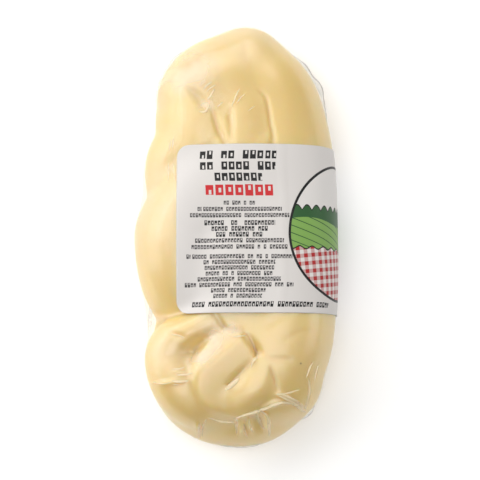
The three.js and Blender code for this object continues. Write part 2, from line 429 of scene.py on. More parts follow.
def mark_depth(nodes, thing, position):
    """How deep the nearest of a set's marks is pressed in at a place."""
    points = to_points(nodes, close_line(nodes, thing, MARK_STEP))
    plan = (1, 1, 0)
    place = nodes.vector("MULTIPLY", position, plan)
    flat_points = scaled(nodes, points, plan)
    index = nearest(nodes, flat_points, place)
    mark = sample(nodes, points, "FLOAT_VECTOR", nodes.add("GeometryNodeInputPosition"), index)
    width = sample(nodes, points, "FLOAT", nodes.add("GeometryNodeInputRadius"), index)
    depth = nodes.parts(mark)[2]
    away = nodes.vector("DISTANCE", place, nodes.vector("MULTIPLY", mark, plan), output="Value")
    upper = nodes.smooth_step(nodes.parts(position)[2], MARKS_FROM, MARKS_FULL, 0.0, 1.0)
    return depth * nodes.math("EXPONENT", (away / width) ** 2 * -1) * upper


# %% The tree that draws a skin
PRESSED_TOP = 49.5 * MM
SHOULDER_DROP = 7 * MM  # how far the pressed top falls to the long sides
END_DROP = 9 * MM  # and to the two ends
SHOULDER_POWER = 2.2  # the higher, the longer the top stays level before it falls
END_POWER = 4
FOOT = 1.5 * MM  # height of the film's flat underside, before the pieces are settled
HALF_WIDTH = 44 * MM  # of the loaf
HALF_LENGTH = 92 * MM
TOP_BLEND = 5 * MM
FOOT_BLEND = 4 * MM
FILM_GAP = 0.35 * MM  # from the strands' own surface to the film
UNEVEN_SCALE = 38  # lumps for each metre
STRIDE = 0.85  # share of the measured distance that one step covers


def make_skin_tree(name, strands, marks):
    """strands is a list of (guide, flat, blend, cuts), and each set of marks is one guide."""
    nodes = shape_tree(name, {
        "Blend": ("NodeSocketFloat", 1.0),
        "Gap": ("NodeSocketFloat", 0.0),
        "Uneven": ("NodeSocketFloat", 0.0),
        "Marks": ("NodeSocketFloat", 1.0),
        "Steps": ("NodeSocketInt", 24),
        "Material": ("NodeSocketMaterial", None),
    })
    given = nodes.add("NodeGroupInput")
    start = nodes.tree.nodes.new("GeometryNodeRepeatInput")
    end = nodes.tree.nodes.new("GeometryNodeRepeatOutput")
    start.pair_with_output(end)
    nodes.feed(start.inputs["Iterations"], given.out("Steps"))
    nodes.feed(start.inputs["Geometry"], given)

    position = nodes.add("GeometryNodeInputPosition")
    distance = None
    for thing, flat, blend, cuts in strands:
        one = strand_distance(nodes, thing, flat, position)
        for point, normal, soft in cuts:
            plane = cut_distance(nodes, point, normal, position)
            one = nodes.math("SMOOTH_MAX", one, plane, soft * MM)
        width = given.out("Blend") * (blend * MM)
        distance = one if distance is None else nodes.math("SMOOTH_MIN", distance, one, width)
    distance = distance - given.out("Gap")
    x, y, z = nodes.parts(position)
    across = (abs(x) / HALF_WIDTH) ** SHOULDER_POWER
    lengthwise = (abs(y) / HALF_LENGTH) ** END_POWER
    top = PRESSED_TOP - across * SHOULDER_DROP - lengthwise * END_DROP
    distance = nodes.math("SMOOTH_MAX", distance, z - top, TOP_BLEND)
    lumps = nodes.noise(position, UNEVEN_SCALE, detail=1.0) * 2 - 1
    distance = distance + lumps * given.out("Uneven")
    for thing in marks:
        depth = mark_depth(nodes, thing, position)
        crease = nodes.math("MAXIMUM", depth, 0.0) * given.out("Marks")
        rib = nodes.math("MINIMUM", depth, 0.0)
        distance = distance + crease + rib
    lift = nodes.math("MAXIMUM", FILM_GAP - given.out("Gap"), 0.0)  # the curd rests on its film
    distance = nodes.math("SMOOTH_MAX", distance, lift + FOOT - z, FOOT_BLEND)

    spine = nodes.stored("spine", "FLOAT_VECTOR")
    ray = nodes.vector("NORMALIZE", nodes.vector("SUBTRACT", position, spine))
    step = nodes.times(ray, distance * -STRIDE)
    loose = Value(nodes, start.outputs["Geometry"])
    moved = nodes.add("GeometryNodeSetPosition", {}, {"Geometry": loose, "Offset": step})
    nodes.feed(end.inputs["Geometry"], moved)
    drawn = Value(nodes, end.outputs["Geometry"])
    bare = nodes.add("GeometryNodeRemoveAttribute", {}, {"Geometry": drawn, "Name": "spine"})
    return close_tree(nodes, bare, given.out("Material"))


# %% [markdown]
# ## The loose bag
#
# The bag is a grid: rings along the spine, with a fan of rings round each end that closes on a
# pole. Columns are closer together on the upper half, where the light and the eye are. Each point
# remembers its place on the spine in an attribute, because its ray starts there.

# %% Make a loose bag
SPINE_HALF = 50 * MM  # half the spine's length
SPINE_HEIGHT = 21 * MM
RAY_START = 62 * MM  # how far out along its ray a point starts
TOP_SHARE = 0.66  # of the columns, the share on the upper half
SKIN_STEPS = 30


def column_angles(columns):
    upper = round(columns * TOP_SHARE)
    top = np.linspace(0, math.pi, upper, endpoint=False)
    under = np.linspace(math.pi, 2 * math.pi, columns - upper, endpoint=False)
    return np.concatenate([top, under])


def ray_points(y, lean, angles):
    """Where one ring's rays start on the spine, and points far out along them."""
    spine = np.tile((0, y, SPINE_HEIGHT), (len(angles), 1))
    ray = np.stack([
        np.cos(lean) * np.cos(angles),
        np.full(len(angles), np.sin(lean)),
        np.cos(lean) * np.sin(angles),
    ], axis=1)
    return spine, spine + RAY_START * ray


def mesh_object(name, points, faces):
    mesh = bpy.data.meshes.new(name)
    mesh.from_pydata(np.asarray(points).tolist(), [], faces)
    return new_object(name, mesh)


def grid_faces(rings, columns, closed):
    here = np.arange(columns if closed else columns - 1)
    after = (here + 1) % columns
    faces = []
    for ring in range(rings - 1):
        a = ring * columns
        b = a + columns
        faces += np.stack([a + here, b + here, b + after, a + after], axis=1).tolist()
    return faces


def with_spine(thing, spine):
    attribute = thing.data.attributes.new("spine", "FLOAT_VECTOR", "POINT")
    attribute.data.foreach_set("vector", spine.astype(np.float32).ravel())
    return thing


def loose_bag(name, rings, end_rings, columns):
    quarter = math.pi / 2
    angles = column_angles(columns)
    leans = quarter * np.arange(1, end_rings) / end_rings
    stations = [(-SPINE_HALF, lean - quarter) for lean in leans]
    stations += [(y, 0.0) for y in np.linspace(-SPINE_HALF, SPINE_HALF, rings)]
    stations += [(SPINE_HALF, lean) for lean in leans]
    parts = [ray_points(y, lean, angles) for y, lean in stations]
    parts.append(ray_points(-SPINE_HALF, -quarter, angles[:1]))
    parts.append(ray_points(SPINE_HALF, quarter, angles[:1]))
    spine = np.concatenate([part[0] for part in parts])
    points = np.concatenate([part[1] for part in parts])
    count = len(stations) * columns
    last = count - columns
    faces = grid_faces(len(stations), columns, closed=True)
    for here in range(columns):
        after = (here + 1) % columns
        faces.append((count, here, after))
        faces.append((count + 1, last + after, last + here))
    return with_spine(mesh_object(name, points, faces), spine)


# %% [markdown]
# ## Marks in the curd
#
# Where the strands were folded against each other the curd keeps creases that the plait's own
# shape doesn't give: the tongue of curd between two creases at the plain end, the dent beside it,
# and the soft pleats where the long strand was bent at the other end. The last set has a negative
# depth: soft ribs where the tightened film has gathered the curd. Each mark is a line of
# (x, y, depth, width). Only the nearest mark of a set is felt, so marks that run close to each
# other go in different sets.

# %% Marks in the curd
CREASES = {
    "dent": [(-21.5, 61, 0, 1.6), (-17.5, 58.5, 1.3, 2), (-14.5, 54.5, 1.3, 2), (-12, 51, 0, 1.6)],
    "left_of_tongue": [
        (-1.5, 54, 0, 1.2), (-2.5, 49, 1.2, 1.5), (-2, 45, 1.1, 1.6), (-2, 39, 0.5, 1.6),
        (-2, 33, 0, 2),
    ],
    "right_of_tongue": [
        (9, 61, 0, 0.9), (12.5, 57.5, 0.6, 0.9), (14, 52, 0.9, 0.9), (15, 45, 1, 0.9),
        (16, 40, 1, 1), (15.5, 33, 0.7, 2),
    ],
    "head_crease": [(4.5, 85, 0, 1.6), (4.5, 79, 0.3, 1.8), (4, 72, 0, 2)],
    "upper_pleat": [(11, -43, 0, 1.6), (16, -39.5, 0.4, 1.8), (23, -35.5, 0.4, 2)],
    "lower_pleat": [
        (12.5, -55.5, 0, 1.4), (17, -55.5, 0.5, 1.6), (22, -55.8, 0.5, 1.6), (26, -56.5, 0, 1.6),
    ],
    "right_of_arch": [
        (-11, -34, 0, 1.3), (-7.5, -38, 1, 1.3), (-4.5, -42, 1.1, 1.2), (1, -43.5, 0.5, 1),
        (5, -44.5, 0, 1),
    ],
    "arch_crease": [(-28.5, -44, 0, 1.2), (-25, -44.8, 0.7, 1.3), (-21, -46.5, 0, 1.4)],
}
SIDE_CREASES = {
    "left_of_wedge": [
        (-11, 54, 0, 1), (-9.5, 49.5, 0.8, 1.1), (-7.5, 43, 1.3, 1.3), (-4.5, 37, 1.4, 1.6),
        (-2, 30, 1, 2),
    ],
    "side_pleat": [(18, -49, 0, 1.4), (23.5, -46, 0.3, 1.4), (29, -43.5, 0.3, 1.4), (35, -43, 0, 1.4)],
    "right_of_tail": [(14.5, -57, 0, 0.9), (15.5, -61, 0.7, 1), (17, -66, 0.9, 1), (18.5, -70, 0, 1)],
    "right_of_crossing": [(4.5, -44, 0, 1), (7, -48, 1.5, 1.3), (9, -52.5, 3, 1.5), (9, -55.5, 0, 1)],
}
RIBS = {
    "rim_1": [(-16.2, -81, 0, 1), (-16.5, -85, -1.2, 1.2), (-16.5, -89, 0, 1)],
    "rim_2": [(2, -80.5, 0, 1), (2.3, -84, -1.2, 1.3), (3, -88, 0, 1)],
    "rim_3": [(5.4, -79.6, 0, 1), (6.2, -83, -1.2, 1.3), (7.4, -87, 0, 1)],
    "rim_4": [(10.3, -76.9, 0, 1), (12.8, -79.5, -1.2, 1.3), (13.6, -84, -1.6, 1.4), (13.9, -88, 0, 1)],
    "above_rim": [
        (-1.3, -80.3, 0, 1), (4.5, -78.5, -0.6, 1.1), (10.3, -76.5, -0.7, 1.1),
        (19, -73.6, -0.8, 1.1), (25.8, -74.5, 0, 1),
    ],
    "corner": [(16.1, -69.8, 0, 1), (22, -72, -0.8, 1.2), (28.9, -76.3, 0, 1)],
    "left_low": [
        (-37, -64.6, 0, 1), (-32, -65.6, -0.6, 1.1), (-24, -64.7, -0.7, 1.1), (-20.5, -64.2, 0, 1),
    ],
    "left_high": [(-27, -60.6, 0, 1), (-24, -60.6, -0.6, 1), (-20.6, -59.8, 0, 1)],
}
MARK_SETS = (CREASES, SIDE_CREASES, RIBS)


def mark_lines(name, marks):
    """One guide with a line for each mark."""
    first, *others = marks.values()
    thing = guide(name, first)
    for path in others:
        add_line(thing.data, path)
    return thing


mark_guides = [mark_lines(f"marks_{n}", marks) for n, marks in enumerate(MARK_SETS)]
print([len(marks) for marks in MARK_SETS], "marks in each set")

# %% [markdown]
# ## Finishes
#
# A finish is a tree of shader nodes. What is the same all over a piece is a plain number on the
# shader, and what changes from place to place, such as a tint or a fine relief, is worked out
# from the place.

# %% Begin, mix and end a finish
def new_finish(name):
    material = bpy.data.materials.new(name)
    material.use_nodes = True
    material.node_tree.nodes.clear()
    return material, Nodes(material.node_tree)


def mix_color(nodes, share, under, over):
    return nodes.add("ShaderNodeMix", {"data_type": "RGBA"}, {0: share, 6: under, 7: over}, 2)


def close_finish(material, nodes, shader):
    nodes.add("ShaderNodeOutputMaterial", {}, {0: shader})
    return material


# %% [markdown]
# ## The curd's finish
#
# Fresh stretched curd is pale cream and slightly see-through, so light goes in and comes out a few
# millimetres away. That softens the shading and warms the creases, which is what subsurface
# scattering does. The deep creases of its upper side, where the film can't follow, are also
# painted a deeper yellow brown, which is painted shade: `stand_off` is how far away the film is
# there. One dark speck sits in the curd. The curd's own surface is moist but not mirror-like: the
# gloss comes from the film.

# %% Curd finish
CURD_DEEP = (0.80, 0.59, 0.215, 1)
CURD_PALE = (0.84, 0.635, 0.255, 1)
# painted shade: the deep brown that the creases of the upper side are darkened to
CREASE_SHADE_COLOR = (0.62, 0.34, 0.06, 1)
SPECK_COLOR = (0.16, 0.08, 0.03, 1)
SPECK_SQUASH = (1, 1, 0.1)  # heights count for a tenth, so the speck is deep and meets the surface
SPECK = (27 * MM, -57 * MM, 4.2 * MM)  # squashed the same way
SPECK_RADIUS = 0.36 * MM


def stand_off(nodes):
    """How far the film is from the curd here, in metres."""
    return nodes.add("ShaderNodeAttribute", {"attribute_name": "stand_off"}).out("Fac")


def curd_finish():
    material, nodes = new_finish("curd")
    place = nodes.place()
    color = mix_color(nodes, nodes.noise(place, 45.0), CURD_DEEP, CURD_PALE)
    upper = nodes.smooth_step(nodes.parts(place)[2], 26 * MM, 36 * MM, 0.0, 1.0)
    # painted shade: darker brown in the deep creases of the upper side, where the film stands off
    crease = nodes.smooth_step(stand_off(nodes), 1.2 * MM, 2.8 * MM, 0.0, 0.95)
    color = mix_color(nodes, crease * upper, color, CREASE_SHADE_COLOR)
    squashed = nodes.vector("MULTIPLY", place, SPECK_SQUASH)
    speck = nodes.vector("DISTANCE", squashed, SPECK, output="Value") < SPECK_RADIUS
    color = mix_color(nodes, speck * 0.7, color, SPECK_COLOR)
    shader = nodes.add("ShaderNodeBsdfPrincipled", {}, {
        "Base Color": color,
        "Roughness": 0.42,
        "Subsurface Weight": 0.9,
        "Subsurface Radius": (1.0, 0.62, 0.3),
        "Subsurface Scale": 6 * MM,
        "Normal": nodes.bump(nodes.noise(place, 260.0), 0.15, 0.6 * MM),
    })
    return close_finish(material, nodes, shader)


# %% [markdown]
# ## The curd
#
# The curd is the skin drawn with the strands' own blends, a little uneven as hand-pulled curd is.

# %% Draw the curd
CURD_GRID = ((190, 70, 230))


def points_of(thing):
    points = np.zeros(len(thing.data.vertices) * 3)
    thing.data.vertices.foreach_get("co", points)
    return points.reshape(-1, 3)


curd_tree = make_skin_tree("curd_skin", strand_list, mark_guides)
curd = run_tree(loose_bag("curd", *CURD_GRID), curd_tree, {
    "Uneven": 0.25 * MM,
    "Steps": SKIN_STEPS,
    "Material": curd_finish(),
})
curd_points = points_of(curd)
print("curd", len(curd.data.polygons), "faces, size", np.round(np.ptp(curd_points, axis=0), 4))

# %% [markdown]
# ## The film's finish
#
# Clear film is almost all transparency. What shows is its gloss, which grows steeply towards its
# edges. The growth is worked out from how far the surface faces away, which is the same from both
# sides of the film: the Fresnel node isn't, and would keep light from leaving the curd.

# %% Film finish
CRISP_GLOSS = 0.24  # roughness of the film's own mirror-like gloss
GREASY_GLOSS = 0.45  # and of the wider sheen of the moist curd pressed against it
LEAST_GLOSS = 0.04  # share of light that a face seen straight on still mirrors


def metal_gloss(nodes, roughness, bump):
    return nodes.add("ShaderNodeBsdfPrincipled", {}, {
        "Base Color": (0.9, 0.9, 0.9, 1),
        "Metallic": 1.0,
        "Roughness": roughness,
        "Normal": bump,
    })


def mix_shader(nodes, share, under, over):
    return nodes.add("ShaderNodeMixShader", {}, {0: share, 1: under, 2: over})


def film_finish(name, cloud_color, cloud, sheen, rim):
    """Film with a cloud in it, a share of greasy sheen all over, and more gloss at its rim.

    The cloud is a recipe: it gives how milky the film is, from how far its face turns away.
    """
    material, nodes = new_finish(name)
    bump = nodes.bump(nodes.noise(nodes.place(), 140.0), 0.3, 0.8 * MM)
    facing = nodes.add("ShaderNodeLayerWeight", {}, {"Blend": 0.5, "Normal": bump}, "Facing")
    clear = nodes.add("ShaderNodeBsdfTransparent")
    cloudy = nodes.add("ShaderNodeBsdfPrincipled", {}, {"Base Color": cloud_color, "Roughness": 0.6})
    body = mix_shader(nodes, cloud(nodes, facing), clear, cloudy)
    greased = mix_shader(nodes, sheen, body, metal_gloss(nodes, GREASY_GLOSS, bump))
    mirrored = facing**5 * rim + LEAST_GLOSS
    crisp = mix_shader(nodes, mirrored, greased, metal_gloss(nodes, CRISP_GLOSS, bump))
    return close_finish(material, nodes, crisp)


# %% How milky the film is, and its painted highlights
# Patches of painted highlight: milky white laid on the lit left slopes, the top and the crossing's lit
# facet.
PAINTED_HIGHLIGHTS = [
    # a place in millimetres, how far the patch of painted highlight reaches, how milky it is
    ((-18, 69, 38), 17, 0.45),
    ((-13.5, 53.5, 43), 5, 0.3),
    ((2, 84, 30), 24, 0.16),
    ((-13, -41, 45), 9, 0.2),
    ((-20, -56, 40), 10, 0.2),
    ((-14, -55, 42), 8, 0.4),
    ((-10, -47.5, 44), 8, 0.38),
    ((-3, -43.5, 46), 7, 0.34),
    ((-31, -52, 36), 14, 0.2),
    ((-31, 64, 28), 20, 0.3),
    ((-35, 10, 32), 38, 0.22),
]
RAGGED = 9 * MM  # how far the outlines of the patches wander


def film_cloud_and_painted_highlights(nodes, facing):
    """Milky where it stands off the curd, and in a few patches of painted highlight on the lit slopes."""
    place = nodes.place()
    cloud = nodes.smooth_step(stand_off(nodes), 1.8 * MM, 5 * MM, 0.0, 0.3)
    swirl = nodes.noise(place, 110.0, output="Color")
    drift = nodes.vector("MULTIPLY_ADD", swirl, (RAGGED,) * 3, (-RAGGED / 2,) * 3)
    warped = nodes.vector("ADD", place, drift)
    # painted highlights: milky white added round each patch on the lit slopes
    for spot, reach, strength in PAINTED_HIGHLIGHTS:
        centre = tuple(value * MM for value in spot)
        far = nodes.vector("DISTANCE", warped, centre, output="Value")
        cloud = cloud + nodes.smooth_step(far, 0.0, reach * MM, strength, 0.0)
    return cloud


def cloud_in_folds(nodes, facing):
    return (1 - facing) ** 1.5 * 0.55


def cloud_at_edges(nodes, facing):
    return facing**2 * 0.6 + 0.14


# %% [markdown]
# ## The film
#
# The film is drawn over the same strands with wider blends, so that it bridges the creases. Where
# it stands right off the curd, over the notches between lobes and at its trimmed corners, a few
# extra strands that only the film knows hold it out like tent poles.

# %% Draw the film
FILM_TENTS = [
    [(-18, 73, 21, 6.5), (-26.5, 78, 20, 1)],
    [(25, 75, 21, 3.5), (33.5, 61.5, 20, 3)],
    [(-30, 26, 24, 8.6), (-31, 14, 24, 9)],
    [(-30, -24, 24, 8.8), (-29, -42, 24, 8.8)],
]
FILM_GRID = ((255, 85, 215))

tent_guides = [guide(f"tent_{n}", path) for n, path in enumerate(FILM_TENTS)]
film_strands = strand_list + [(thing, 1, USUAL_BLEND, ()) for thing in tent_guides]
film_tree = make_skin_tree("film_skin", film_strands, mark_guides)
film = run_tree(loose_bag("film", *FILM_GRID), film_tree, {
    "Blend": 1.8,
    "Gap": FILM_GAP,
    "Uneven": 0.2 * MM,
    "Marks": 0.5,
    "Steps": SKIN_STEPS,
    "Material": film_finish(
        "clear_film", (0.93, 0.87, 0.74, 1), film_cloud_and_painted_highlights, sheen=0.08, rim=0.3,
    ),
})
film_points = points_of(film)
print("film", len(film.data.polygons), "faces, size", np.round(np.ptp(film_points, axis=0), 4))

# %% [markdown]
# ## The label's print
#
# The print is drawn by arithmetic on the label's own ruler: `across` runs from its left edge and
# `up` from its bottom edge, both in millimetres. Text is only suggested, the way a layout is
# sketched, by rows of small blocks with word gaps, each block with a gap in it somewhere. A
# paragraph says how high its top row stands, how far apart its rows are, how long each one is and
# how tall the blocks are.

# %% Label print
LABEL_WIDTH = 109 * MM
LABEL_HEIGHT = 72.2 * MM
TEXT_MIDDLE = 27.0
WORD_SHARE = 0.88  # of the blocks, the share that isn't left out as a gap between words
NARROW = 0.68  # a place's width for each millimetre of its height, unless its paragraph says
BLOCK_HALF = 0.4  # half of the block in it, as a share of the place
INK = (0.012, 0.011, 0.011, 1)
INK_THIN = (0.05, 0.045, 0.045, 1)  # small print, whose strokes don't fill their blocks
INK_RED = (0.56, 0.016, 0.02, 1)
PAPER_WHITE = (0.67, 0.635, 0.605, 1)
PARAGRAPHS = [
    {"top": 67.5, "pitch": 4.8, "lengths": (33.2, 32.7, 20.6), "cap": 3.6, "wide": 0.86, "ink": INK},
    {"top": 52.3, "pitch": 0, "lengths": (29.3,), "cap": 4.7, "wide": 0.9, "ink": INK_RED},
    {"top": 46.9, "pitch": 2.65, "lengths": (13.6, 36, 42.5), "cap": 1.8, "ink": INK_THIN},
    {"top": 38.4, "pitch": 2.5, "lengths": (30.3, 24.2, 20.2), "cap": 2.1, "ink": INK},
    {"top": 30.8, "pitch": 2.7, "lengths": (38.2, 41.3), "cap": 1.9, "ink": INK_THIN},
    {
        "top": 24.0,
        "pitch": 2.4,
        "lengths": (45.6, 31, 30, 29, 36, 47, 23.6, 21),
        "cap": 1.85,
        "ink": INK_THIN,
    },
    {"top": 3.7, "pitch": 0, "lengths": (62,), "cap": 2.3, "ink": INK, "middle": 38},
]


def near_band(value, middle, half):
    """1 where a value is within half of the middle."""
    return abs(value - middle) < half


def text_row(nodes, across, up, row):
    """Blocks of ink along one row, some left out as word gaps and some lower than others."""
    height, length, cap, letter, middle, seed = row
    place = (across - (middle - length / 2)) / letter
    number = nodes.math("FLOOR", place)
    chance = nodes.add("ShaderNodeTexWhiteNoise", {"noise_dimensions": "2D"}, {
        "Vector": nodes.add("ShaderNodeCombineXYZ", {}, {"X": number, "Y": float(seed)}),
    })
    within = nodes.math("FRACT", place)
    inside = near_band(across, middle, length / 2)
    at_end = 1 - near_band(across, middle, length / 2 - 1.5 * letter)  # a row never ends in a gap
    present = nodes.math("MAXIMUM", chance < WORD_SHARE, at_end)
    block = near_band(within, 0.5, BLOCK_HALF) * present
    pick = nodes.math("FRACT", chance * 7.3)  # a second chance, made from the first
    above = up - height
    whole = block * (abs(above) < pick * (cap * 0.08) + cap * 0.44)
    gap_height = (pick - 0.5) * (cap * 0.5)
    gap = near_band(within, 0.55, 0.13) * near_band(above, gap_height, cap * 0.2)
    return inside * whole * (1 - gap)


def print_text(nodes, across, up, color):
    seed = 40
    for paragraph in PARAGRAPHS:
        mask = None
        for number, length in enumerate(paragraph["lengths"]):
            height = paragraph["top"] - number * paragraph["pitch"]
            seed += 1
            middle = paragraph.get("middle", TEXT_MIDDLE)
            cap = paragraph["cap"]
            letter = cap * paragraph.get("wide", NARROW)
            one = text_row(nodes, across, up, (height, length, cap, letter, middle, seed))
            mask = one if mask is None else nodes.math("MAXIMUM", mask, one)
        color = mix_color(nodes, mask, color, paragraph["ink"])
    return color


# %% [markdown]
# The medallion is a round drawing at the label's right, wrapped over the loaf's shoulder: a checked
# cloth in front, a furrowed green field behind it, and a dark line of trees. `hem`, `field_edge` and
# `crowns` are the heights where the cloth, the field and the trees end.

# %% Label medallion
MEDALLION_ACROSS = 77.0
MEDALLION_UP = 35.0
MEDALLION_HALF = (28.5, 29.0)
LEAF_GREEN = (0.21, 0.38, 0.09, 1)
DARK_GREEN = (0.032, 0.105, 0.034, 1)
CLOTH_RED = (0.40, 0.022, 0.022, 1)
CLOTH_WHITE = (0.72, 0.69, 0.66, 1)
CHECK = 3.4  # one red and one white stripe of the cloth
CHECK_TILT = 0.12
FURROW = 3.2  # from one furrow to the next
FURROW_SLOPE = 0.35
OUTLINE = 0.3  # half the width of the drawing's lines
RING = 0.019  # and of the ring round it, as a share of the radius


def print_medallion(nodes, across, up, color):
    x = across - MEDALLION_ACROSS
    y = up - MEDALLION_UP
    wide, tall = MEDALLION_HALF
    radius = nodes.math("SQRT", (x / wide) ** 2 + (y / tall) ** 2)
    inside = radius < 1

    squares_x = nodes.math("FRACT", (across + up * CHECK_TILT) / CHECK) < 0.5
    squares_y = nodes.math("FRACT", (up - across * CHECK_TILT) / CHECK) < 0.5
    check = (squares_x + squares_y) * 0.5
    cloth = mix_color(nodes, check, CLOTH_WHITE, CLOTH_RED)
    hem = nodes.math("SINE", across * 1.1) * 0.6 - 7
    furrow = nodes.math("FRACT", (across * FURROW_SLOPE + up) / FURROW) < 0.13
    field = mix_color(nodes, furrow, LEAF_GREEN, DARK_GREEN)
    crowns = abs(nodes.math("SINE", across * 0.7)) * 2.2 + 9
    field_edge = nodes.math("SINE", across * 0.14) * 1.5 + 4.5

    picture = mix_color(nodes, y < crowns, CLOTH_WHITE, DARK_GREEN)
    picture = mix_color(nodes, y < field_edge, picture, field)
    picture = mix_color(nodes, y < hem, picture, cloth)
    for edge in (hem, crowns):
        picture = mix_color(nodes, near_band(y, edge, OUTLINE), picture, INK)
    color = mix_color(nodes, inside, color, picture)
    return mix_color(nodes, near_band(radius, 1, RING), color, INK)


# %% [markdown]
# ## The paper's finish
#
# The label is satin coated paper: white, faintly fibrous, with a little sheen. It isn't a pure
# white, so that it keeps its tone beside the table.

# %% Paper finish
RIPPLE_ACROSS = 46  # a faint ridge where the paper didn't quite lie down


def paper_finish():
    material, nodes = new_finish("label_paper")
    across, up, _ = nodes.parts(nodes.add("ShaderNodeUVMap", {"uv_map": "ruler"}))
    across = across * (LABEL_WIDTH / MM)
    up = up * (LABEL_HEIGHT / MM)
    color = print_text(nodes, across, up, PAPER_WHITE)
    color = print_medallion(nodes, across, up, color)
    place = nodes.place()
    fibre = nodes.noise(place, 900.0, detail=3.0)
    cockle = nodes.noise(place, 90.0, detail=1.0)
    ripple = nodes.smooth_step(abs(across - RIPPLE_ACROSS), 0.4, 2.8, 1.0, 0.0)
    relief = fibre * 0.12 + cockle + ripple * 0.8
    shader = nodes.add("ShaderNodeBsdfPrincipled", {}, {
        "Base Color": color,
        "Roughness": fibre * 0.1 + 0.38,
        "Specular IOR Level": 0.3,
        "Normal": nodes.bump(relief, 0.25, 0.6 * MM),
    })
    return close_finish(material, nodes, shader)


# %% [markdown]
# ## The label
#
# Paper is stiffer than film, so its skin has wider blends still. Only a patch of skin is needed.
# The patch is then cut to size by walking each of its rows with a ruler, from the label's left edge
# over the top and down the side, so that the paper keeps its true width wherever the surface
# swells. The same ruler gives the print its coordinates.

# %% Draw the paper's skin
LABEL_LEFT = -25.2 * MM  # across the loaf
LABEL_MIDDLE = 0.2 * MM  # along it
LABEL_CORNER = 5.5 * MM
PAPER = 0.15 * MM
LABEL_ROWS = 130
LABEL_COLUMNS = 190
SECTION = np.radians(np.linspace(195, -95, 260))  # from the left side to below
CROWDING = 0.35  # how much the rows crowd towards the two edges, for the sake of the corners

crowded = (1 - np.cos(np.linspace(0, math.pi, LABEL_ROWS))) / 2
row_share = CROWDING * crowded + (1 - CROWDING) * np.linspace(0, 1, LABEL_ROWS)
row_y = LABEL_MIDDLE + LABEL_HEIGHT * (row_share - 0.5)
patch_rows = [ray_points(y, 0.0, SECTION) for y in row_y]
patch_spine = np.concatenate([row[0] for row in patch_rows])
patch_start = np.concatenate([row[1] for row in patch_rows])
patch = mesh_object("label_patch", patch_start, grid_faces(LABEL_ROWS, len(SECTION), closed=False))
patch = with_spine(patch, patch_spine)
paper_tree = make_skin_tree("paper_skin", film_strands, mark_guides)
label_paper = paper_finish()
patch = run_tree(patch, paper_tree, {
    "Blend": 3.0,
    "Gap": 0.65 * MM,
    "Marks": 0.0,
    "Steps": SKIN_STEPS,
    "Material": label_paper,
})
patch_grid = points_of(patch).reshape(LABEL_ROWS, len(SECTION), 3)
bpy.data.objects.remove(patch)
print("paper skin", patch_grid.shape)

# %% Cut the label out of it
def cut_row(row, share):
    """Points along one row of the label, and how far each is from the left edge by the ruler."""
    start = np.argmax(row[:, 0] >= LABEL_LEFT)
    before, after = row[start - 1], row[start]
    edge = before + (after - before) * (LABEL_LEFT - before[0]) / (after[0] - before[0])
    row = np.concatenate([[edge], row[start:]])
    lengths = np.concatenate([[0], np.cumsum(np.linalg.norm(np.diff(row, axis=0), axis=1))])
    from_end = LABEL_HEIGHT * min(share, 1 - share)
    into = max(LABEL_CORNER - from_end, 0)
    inset = LABEL_CORNER - math.sqrt(LABEL_CORNER**2 - into**2)
    wanted = np.linspace(inset, LABEL_WIDTH - inset, LABEL_COLUMNS)
    points = np.stack([np.interp(wanted, lengths, row[:, axis]) for axis in range(3)], axis=1)
    return points, wanted


def set_ruler(thing, across, up):
    """Stores where each point is on the label as its UV map."""
    layer = thing.data.uv_layers.new(name="ruler")
    corners = np.zeros(len(thing.data.loops), dtype=np.int32)
    thing.data.loops.foreach_get("vertex_index", corners)
    ruler = np.stack([across[corners], up[corners]], axis=1).astype(np.float32)
    layer.data.foreach_set("uv", ruler.ravel())


cut = [cut_row(row, share) for row, share in zip(patch_grid, row_share)]
label_points = np.concatenate([points for points, _ in cut])
label_across = np.concatenate([wanted for _, wanted in cut]) / LABEL_WIDTH
label_up = np.repeat(row_share, LABEL_COLUMNS)
label_faces = grid_faces(LABEL_ROWS, LABEL_COLUMNS, closed=False)
label = mesh_object("paper_label", label_points, label_faces)
for face in label.data.polygons:
    face.use_smooth = True
set_ruler(label, label_across, label_up)
label.data.materials.append(label_paper)
thickness = label.modifiers.new("paper", "SOLIDIFY")
thickness.thickness = PAPER
thickness.offset = 1
print("label", len(label_faces), "faces")

# %% [markdown]
# ## Settling the pieces on the frame
#
# The strands' coordinates have their own origin. The film has to lie where the frame's solid lies,
# so the film's box is compared with that solid's, and every piece moves by the difference.

# %% Settle the pieces
low, high = (np.array(corner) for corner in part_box("sealed_braid"))
middle = (film_points.min(axis=0) + film_points.max(axis=0)) / 2
shift = (low + high) / 2 - middle
shift[2] = -FOOT
for thing in (curd, film, label):
    thing.data.transform(Matrix.Translation(shift))
print("shift in mm", np.round(shift / MM, 2))

# %% [markdown]
# ## How far the film stands off
#
# Film that touches the curd is wet and clear, and film that bridges a notch looks a little cloudy.
# A small tree measures the gap from one skin to the other and keeps it on each, where the finishes
# read it: the film for its cloud, and the curd for the painted shade in its deep creases.

# %% Measure the gap
def make_gap_tree():
    nodes = shape_tree("film_gap", {
        "Other": ("NodeSocketObject", None),
        "Material": ("NodeSocketMaterial", None),
    })
    given = nodes.add("NodeGroupInput")
    other = nodes.add("GeometryNodeObjectInfo", {}, {"Object": given.out("Other")}, "Geometry")
    gap = nodes.add("GeometryNodeProximity", {"target_element": "FACES"}, {0: other}, "Distance")
    kept = nodes.add("GeometryNodeStoreNamedAttribute", {"data_type": "FLOAT", "domain": "POINT"}, {
        "Geometry": given, "Name": "stand_off", "Value": gap,
    })
    return close_tree(nodes, kept, given.out("Material"))


